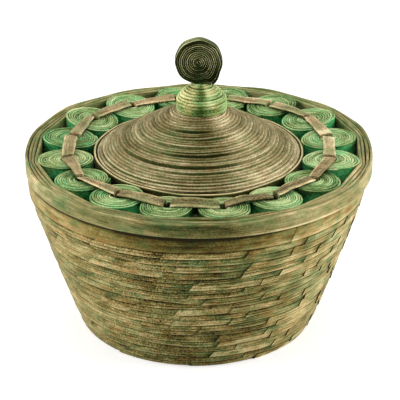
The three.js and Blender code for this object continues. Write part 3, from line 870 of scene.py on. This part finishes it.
def cone_height(radius):
    """Height of the cone's upper edges at a radius."""
    share = np.clip((CONE_RADIUS - radius) / (CONE_RADIUS - HIVE_RADIUS), 0, 1)
    return CONE_FOOT + (CONE_HIGH.z - CONE_FOOT) * share ** CONE_CURVE


def tall_steps(turn):
    """How far the tall steps push the cone's turns up, where its bare faces are, and where the
    brush met its crests."""
    pushed = tall = crest = 0
    for at, size, width in TALL_STEPS:
        above = np.round(turn - at)
        window = np.exp(-((turn - at - above) / width) ** 2)
        lift = np.where(above >= 0, 0.6 * 0.6 ** above, -0.4 * 0.6 ** (-1 - above))
        pushed += size * MM * lift * window
        tall += window * (above == 0)
        crest += window * ((above == 0) + 0.6 * (above == 1))
    return pushed, tall, crest


def cone():
    """The cone: a folded strip wound on edge, pushed up unevenly from turn to turn."""
    paper, rng = begin(71)
    turn = winding(CONE_TURNS + 1, 120) - 1
    angle = FIRST_COIL_ANGLE + turn * TAU
    pitch = (CONE_RADIUS - HIVE_RADIUS + 2 * MM) / CONE_TURNS
    outer = np.minimum(CONE_RADIUS - pitch * turn, CONE_RADIUS - 0.1 * MM)
    inner = CONE_RADIUS - pitch * (turn + 1) + 0.03 * MM
    pushed, tall, crest = tall_steps(turn)
    top = cone_height(outer) + pushed + drift(rng, turn + 1, 0.16 * MM)
    top += drift(rng, (turn + 1) * 5, 0.12 * MM)
    bottom = cone_height(outer) - CONE_STRIP_HEIGHT
    rimward = smooth((outer - 64 * MM) / (5 * MM))
    inward = smooth((28 * MM - outer) / (8 * MM))
    loose = rimward * facing(angle, FRONT - 0.9, 0.8)
    step = (0.22 + 1.4 * loose) * MM
    radii = ridged(inner, outer, 0.32 * MM, outer, outer)
    heights = columns(bottom, top - step, top - 0.05 * MM, top - 0.12 * MM,
                      top, top - 0.35 * MM, top - 0.9 * MM, bottom)

    # Paint: patchy at the front, paler near the rim and the dome, bare on the tall steps, with painted
    # shade on the front of the slope and a painted highlight to its right
    frontal = facing(angle, FRONT, 0.7)
    worn = row(0, 0.5, 0.57, 0.54, 0.66, 0.6, 0.53, 0.42) + drift(rng, (turn + 1) * 5, 0.09)
    worn += frontal * wave(rng, angle * 2, 0.16, (1, 2, 3)) + 0.08 * frontal - 0.07
    sides = facing_at(angle, -35, 0.7) + 0.4 * facing_at(angle, -150, 0.5)
    pale = 0.16 * rimward + 0.46 * inward * (sides - 0.25) + 0.03 * facing_at(angle, -30, 0.9)
    gilded = 0.4 * facing_at(angle, -128, 0.45) + 1.3 * facing_at(angle, -55, 0.4)
    worn += pale + 0.11 * smooth((outer - 46 * MM) / (12 * MM)) * gilded
    slope = smooth((54 * MM - outer) / (10 * MM)) * smooth((outer - 20 * MM) / (6 * MM))
    # Painted shade on the front of the slope, and a painted highlight to its right
    front_shade_and_highlight = 0.1 * facing(angle, FRONT + 0.05, 0.4) - 0.16 * facing(angle, FRONT + 0.8, 0.3)
    worn -= slope * front_shade_and_highlight
    worn -= loose * row(0, 0.5, 0, 0, 0, 0, 0.3, 0)
    worn -= tall * row(0, 0, 0, 0, 0, 0.15, 0.22, 0.18)
    worn += crest * row(0, 0.08, 0.14, 0.14, 0.14, 0, 0, 0)
    bare = row(0.2, 0.1, 0, 0, -0.2, 0.05, 0.15, 0.3) - 0.2 * inward
    bare += 0.3 * (slope * facing(angle, FRONT - 0.45, 0.4))
    bare += tall * row(0, 0, 0, 0, 0, 0.3, 0.5, 0.5)
    paper.add(round_z(radii, angle, heights), worn, bare=bare)
    paper.build("cone_strip", "lid", "cone_paper", ["lid_cone_coil"])


def hive_outline(share):
    """Radius, height and run of the dome's outline, from its foot at share 0 to its eye at 1."""
    tall = HIVE_HIGH.z - HIVE_LOW.z
    shoulder = tall - HIVE_STRAIGHT
    ends = [(HIVE_RADIUS, HIVE_STRAIGHT), (HIVE_RADIUS, HIVE_STRAIGHT + HIVE_SIDE_PULL * shoulder),
            (HIVE_EYE + HIVE_TOP_PULL, tall), (HIVE_EYE, tall)]
    t = np.linspace(0, 1, 60)
    blend = [(1 - t) ** 3, 3 * t * (1 - t) ** 2, 3 * t * t * (1 - t), t ** 3]
    curve = sum(b[:, None] * np.array(p) for b, p in zip(blend, ends))
    line = np.concatenate([[(HIVE_RADIUS, 0)], curve])
    length = np.concatenate([[0], np.cumsum(np.linalg.norm(np.diff(line, axis=0), axis=1))])

    def point(at):
        return np.stack([np.interp(at, length, column) for column in line.T], -1)

    at = share * length[-1]
    run = point(np.minimum(at + 0.2 * MM, length[-1])) - point(np.maximum(at - 0.2 * MM, 0))
    run /= np.linalg.norm(run, axis=-1, keepdims=True)
    radius, height = np.moveaxis(point(at), -1, 0)
    return radius, height, run


def beehive():
    """The dome: one rolled strip whose rounded turns stack up to an eye."""
    paper, rng = begin(72)
    turn = winding(HIVE_TURNS, 64)
    angle = turn * TAU + FRONT
    band = 1.08 / HIVE_TURNS
    low = np.clip((turn - 1) / (HIVE_TURNS - 1) * (1 - band), 0, 1)
    section = row(0, 0.05, 0.25, 0.5, 0.75, 0.95, 1, 0.95, 0.05)
    waver = drift(rng, turn, 0.004) + drift(rng, turn * 7, 0.003)
    share = np.clip(low + section * band * 0.98 + waver, 0, 1)
    radius, height, run = hive_outline(share)
    domed = smooth((height - 4.5 * MM) / (3 * MM))
    bulge = row(-0.35, 0, 0.3, 0.4, 0.3, 0, -0.35, -1.9, -1.9) * MM
    bulge = np.where(bulge > -MM, bulge * (0.35 + 0.65 * domed), bulge)
    radii = np.maximum(radius + bulge * run[..., 1] - 0.25 * MM, 0.3 * MM)
    heights = HIVE_LOW.z + height - bulge * run[..., 0] * np.sign(run[..., 1] + 1e-9)

    # Paint: painted shade darkest in the middle, which is also greenest, a painted highlight right of it on
    # the dome, and its ridges clearest on the dome
    middle = facing(angle, FRONT - 0.05, 0.27)
    glow = facing(angle, FRONT + 0.42, 0.2) * domed
    right = facing_at(angle, -20, 0.75)
    contrast = (0.4 + 0.6 * domed) * (1 - 0.45 * right) * (1 - 0.4 * middle)
    worn = row(0, 0.15, 0.5, 0.72, 0.84, 0.4, 0, -0.1, -0.1)
    worn = 0.6 + (worn - 0.5) * contrast - 0.36 * middle + 0.2 * glow + drift(rng, turn * 9, 0.12)
    bare = 0.55 - 0.6 * domed + 0.7 * middle + 0.45 * right * domed + drift(rng, turn * 5, 0.12)
    scuffs = facing(angle, FRONT - 0.55, 0.16) + facing(angle, FRONT + 0.62, 0.1)
    bare -= 0.7 * scuffs * (1 - domed)
    paper.add(round_z(radii, angle, heights), worn, bare=bare)
    paper.build("beehive_strip", "lid", "hive_paper", ["beehive_coil"], shift=(HIVE_CENTRE, 0, 0))


def knob():
    """The knob: a strip rolled into a disc that stands on edge and ends at its lower right."""
    paper, rng = begin(73)
    low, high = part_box("knob_coil")
    centre = (low + high) / 2
    half = (high.y - low.y) / 2
    radius = (high.z - low.z) / 2 + 0.4 * MM
    turn = winding(KNOB_TURNS, 48)
    angle = KNOB_END - turn * TAU
    pitch = radius / (KNOB_TURNS + 0.5)
    whole = np.ceil(turn - 1e-9)
    sprung = KNOB_SPRING * smooth(1 - (whole - turn) / 0.11) * 0.75 ** (KNOB_TURNS - whole)
    outer = pitch * (turn + 0.5) + sprung
    inner = np.maximum(outer - pitch + 0.03 * MM, 0.02 * MM)
    corner = 1 + 0.012 * np.cos(8 * angle + 0.6) * smooth(outer / radius)
    front = half + drift(rng, turn * 2, 0.2 * MM) - 0.1 * MM
    back = -half + drift(rng, turn * 2, 0.2 * MM) + 0.1 * MM
    edge = 0.3 * MM
    depth = 0.5 * MM
    radii = columns(inner, inner + edge, (inner + outer) / 2, outer - edge, outer,
                    outer, outer - edge, (inner + outer) / 2, inner + edge, inner) * corner
    depths = columns(front - depth, front, front - 0.15 * MM, front, front - depth,
                     back + depth, back, back + 0.15 * MM, back, back + depth)

    # Paint: bright edges on dark sides, painted highlights at the upper right and upper left, painted shade
    # at the bottom, darker outer turns, and a gold outside
    worn = row(-0.2, 0.15, 0.1, 1.05, 0, 0, 1.05, 0.1, 0.15, -0.2) + drift(rng, turn * 4, 0.26)
    highlight_and_shade = 0.5 * facing_at(angle, 25, 0.7) + 0.3 * facing_at(angle, 150, 0.5)
    highlight_and_shade = highlight_and_shade - 0.4 * facing_at(angle, -95, 0.6) - 0.2 * smooth((outer / radius - 0.72) / 0.2)
    worn += highlight_and_shade * row(0, 0.2, 0.2, 1, 0, 0, 1, 0.2, 0.2, 0)
    last = smooth((turn - KNOB_TURNS + 1.05) / 0.05)
    rolled = last * (0.66 - 0.6 * facing_at(angle, 165, 0.7))
    worn += rolled * row(0, 0, 0, 0, 1, 1, 0, 0, 0, 0)
    bare = 0.2 * last + 0.5 * facing_at(angle, -95, 0.3) - 0.1
    rings = np.stack([radii * np.cos(angle), -depths, radii * np.sin(angle)], -1)
    paper.add(rings, worn, bare=bare)
    paper.build("knob_strip", "lid", "knob_paper", ["knob_coil"], shift=(centre.x, 0, centre.z - KNOB_SAG))


def locating_ring():
    """The ring under the coils: two strips glued face to face."""
    paper, rng = begin(74)
    low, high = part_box("lid_locating_ring")
    angles = full_turn(160)
    worn = row(0.5, 0.2, 0.2, 0.5, 0.85, 0.85)
    for k in range(2):
        outer = high.x - k * LOCATING_PITCH
        inner = outer - LOCATING_STRIP
        bottom = low.z + wave(rng, angles, 0.2 * MM) + k * 0.3 * MM
        radii = columns(inner, inner, outer, outer, outer - 0.2 * MM, inner + 0.2 * MM)
        heights = columns(bottom + 0.3 * MM, high.z, high.z, bottom + 0.3 * MM, bottom, bottom)
        paper.add(round_z(radii, angles, heights), worn, closed=True, rng=rng)
    paper.build("locating_strip", "lid", "inner_paper", ["lid_locating_ring"])


def camera():
    """The photograph's camera."""
    data = bpy.data.cameras.new("camera")
    data.lens = CAMERA_LENS
    data.sensor_width = CAMERA_SENSOR
    data.clip_end = 20
    holder = placed("camera", data)
    away = Vector((0, -math.cos(CAMERA_ELEVATION), math.sin(CAMERA_ELEVATION)))
    holder.location = Vector((AIM_RIGHT, 0, AIM_HEIGHT)) + away * CAMERA_DISTANCE
    holder.rotation_euler = (-away).to_track_quat("-Z", "Y").to_euler()
    bpy.context.scene.camera = holder


def floor():
    """A pale floor that looks nearly white to the camera."""
    mesh = bpy.data.meshes.new("floor")
    corners = [(-1, -1), (1, -1), (1, 1), (-1, 1)]
    mesh.from_pydata([(x * FLOOR_HALF, y * FLOOR_HALF, 0) for x, y in corners], [], [(0, 1, 2, 3)])
    ground = placed("floor", mesh)
    ground.location.z = -FLOOR_DROP
    material = bpy.data.materials.new("floor_pale")
    material.use_nodes = True
    material.node_tree.nodes.clear()
    nodes = Nodes(material.node_tree)
    matt = nodes.new("BsdfDiffuse", {"Color": (FLOOR_TONE, FLOOR_TONE, FLOOR_TONE, 1)}).outputs[0]
    glow = nodes.new("Emission", {"Strength": FLOOR_GLOW}).outputs[0]
    both = nodes.new("AddShader", (matt, glow)).outputs[0]
    seen = nodes.new("LightPath").outputs["Is Camera Ray"]
    nodes.new("OutputMaterial", nodes.new("MixShader", (seen, matt, both)).outputs)
    mesh.materials.append(material)


def surroundings():
    """White surroundings, brighter to the camera than as a light."""
    world = bpy.data.worlds.new("world")
    bpy.context.scene.world = world
    world.use_nodes = True
    nodes = Nodes(world.node_tree)
    path = nodes.new("LightPath")
    seen = nodes.math("MAXIMUM", path.outputs["Is Camera Ray"], path.outputs["Is Glossy Ray"])
    seen = nodes.math("MAXIMUM", seen, path.outputs["Is Transmission Ray"])
    strength = nodes.math("MULTIPLY_ADD", seen, 1.0 - AMBIENT, AMBIENT)
    nodes.fill(world.node_tree.nodes["Background"], {"Color": (1, 1, 1, 1), "Strength": strength})


def lamps():
    """Soft lamps from both sides and from above."""
    for name, place, side, power in LAMPS:
        data = bpy.data.lights.new(name, "AREA")
        data.shape = "SQUARE"
        data.size = side
        data.energy = power
        lamp = placed(name, data)
        lamp.location = place
        lamp.rotation_euler = (LAMP_AIM - Vector(place)).to_track_quat("-Z", "Y").to_euler()


camera()
floor()
surroundings()
lamps()
wall()
wall_backing()
mouth()
base()
rim()
coils()
lacing()
inner_wrap()
cone()
beehive()
knob()
locating_ring()

bpy.context.scene.view_settings.view_transform = "Standard"
